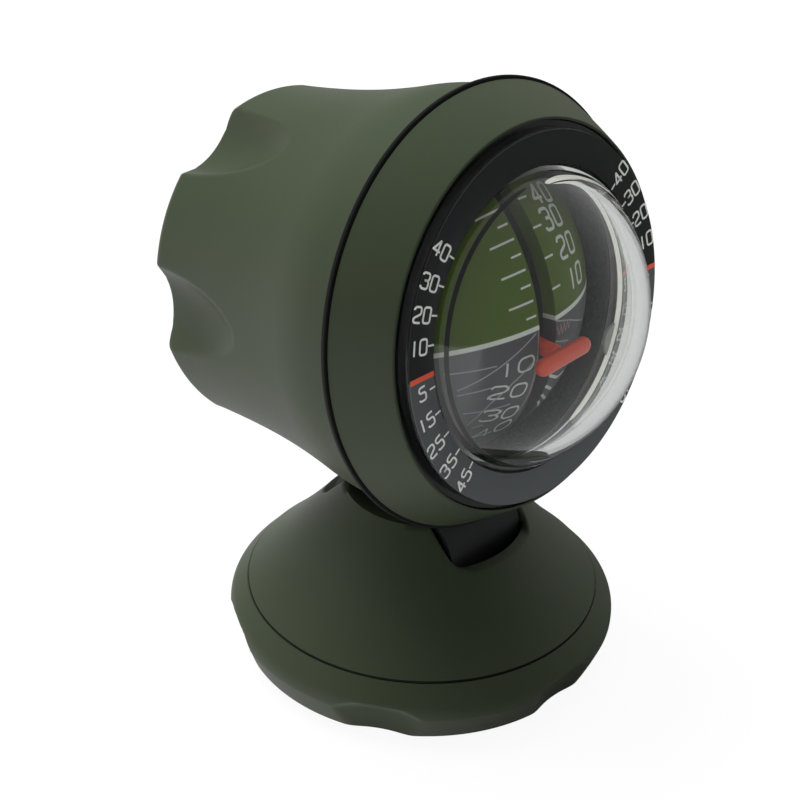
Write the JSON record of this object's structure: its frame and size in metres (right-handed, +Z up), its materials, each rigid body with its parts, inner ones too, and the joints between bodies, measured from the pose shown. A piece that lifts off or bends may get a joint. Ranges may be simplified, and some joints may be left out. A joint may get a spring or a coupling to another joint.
{
  "type": "inclinometer",
  "caption": "Dashboard inclinometer: domed head with a slotted ball card and a level bar, on a tilting neck, a swivelling cone and a round stick-down foot.",
  "frame": {"origin": "centre of the foot's underside", "axes": "+Z up, the dial looks along -Y and 8.9 degrees upwards, +X to the right of the dial's upright slot for someone who reads the dial"},
  "size_m": [0.067, 0.0707, 0.0966],
  "materials": {
    "olive_abs": "fine matt grain",
    "black_abs": "fine matt grain",
    "bowl_abs": "speckled dark grey",
    "orange_abs": "smooth moulded",
    "ball_print": "printed green over grey",
    "dial_print": "printed scale",
    "black_acetal": "smooth",
    "clear_acrylic": "clear polished",
    "black_rubber": "matt",
    "pale_silicone": "smooth",
    "foam": "matt foam",
    "fibre": "pressed fibre",
    "steel": "zinc plated",
    "brass": "turned"
  },
  "bodies": {
    "foot": {"foot_ring": "olive_abs", "base_plate": "black_abs", "adhesive_pad": "foam", "base_screws": "steel", "friction_ring": "black_acetal", "glide_washer": "black_acetal"},
    "turntable": {"swivel_plate": "black_abs", "cone_cover": "olive_abs", "plate_screws": "steel", "swivel_screw": "steel", "retainer_washer": "steel", "wave_washer": "steel", "hinge_bolt": "steel", "hinge_nut": "steel"},
    "head": {"neck": "black_abs", "neck_screws": "steel", "friction_washers": "fibre", "rear_housing": "olive_abs", "bezel_seal": "black_rubber", "front_bezel": "olive_abs", "inner_bowl": "bowl_abs", "lens_gasket": "pale_silicone", "lens": "clear_acrylic", "dial_ring": "dial_print", "bulkhead": "black_abs", "bulkhead_screws": "steel", "front_bush": "brass", "rear_bush": "brass"},
    "card": {"roll_shaft": "steel", "shaft_clip": "steel", "card_frame": "black_abs", "ball_left": "ball_print", "ball_right": "ball_print", "roll_ballast": "brass", "ballast_screws": "steel", "pivot_bushes": "brass"},
    "bar": {"pointer": "orange_abs", "pitch_axle": "steel", "pitch_weight": "brass"}
  },
  "joints": [
    {"name": "swivel", "type": "hinge", "parent": "foot", "child": "turntable", "pos_m": [0, 0, 0.0105], "axis": [0, 0, 1], "continuous": true},
    {"name": "tilt", "type": "hinge", "parent": "turntable", "child": "head", "pos_m": [0, 0, 0.0195], "axis": [1, 0, 0], "range_deg": [-21, 23.8]},
    {"name": "roll", "type": "hinge", "parent": "head", "child": "card", "pos_m": [0, 0.00495, 0.06103], "axis": [0, -0.988, 0.1544], "continuous": true},
    {"name": "pitch", "type": "hinge", "parent": "card", "child": "bar", "pos_m": [0, 0.00495, 0.06103], "axis": [1, 0, 0], "range_deg": [-45.8, 28]}
  ]
}
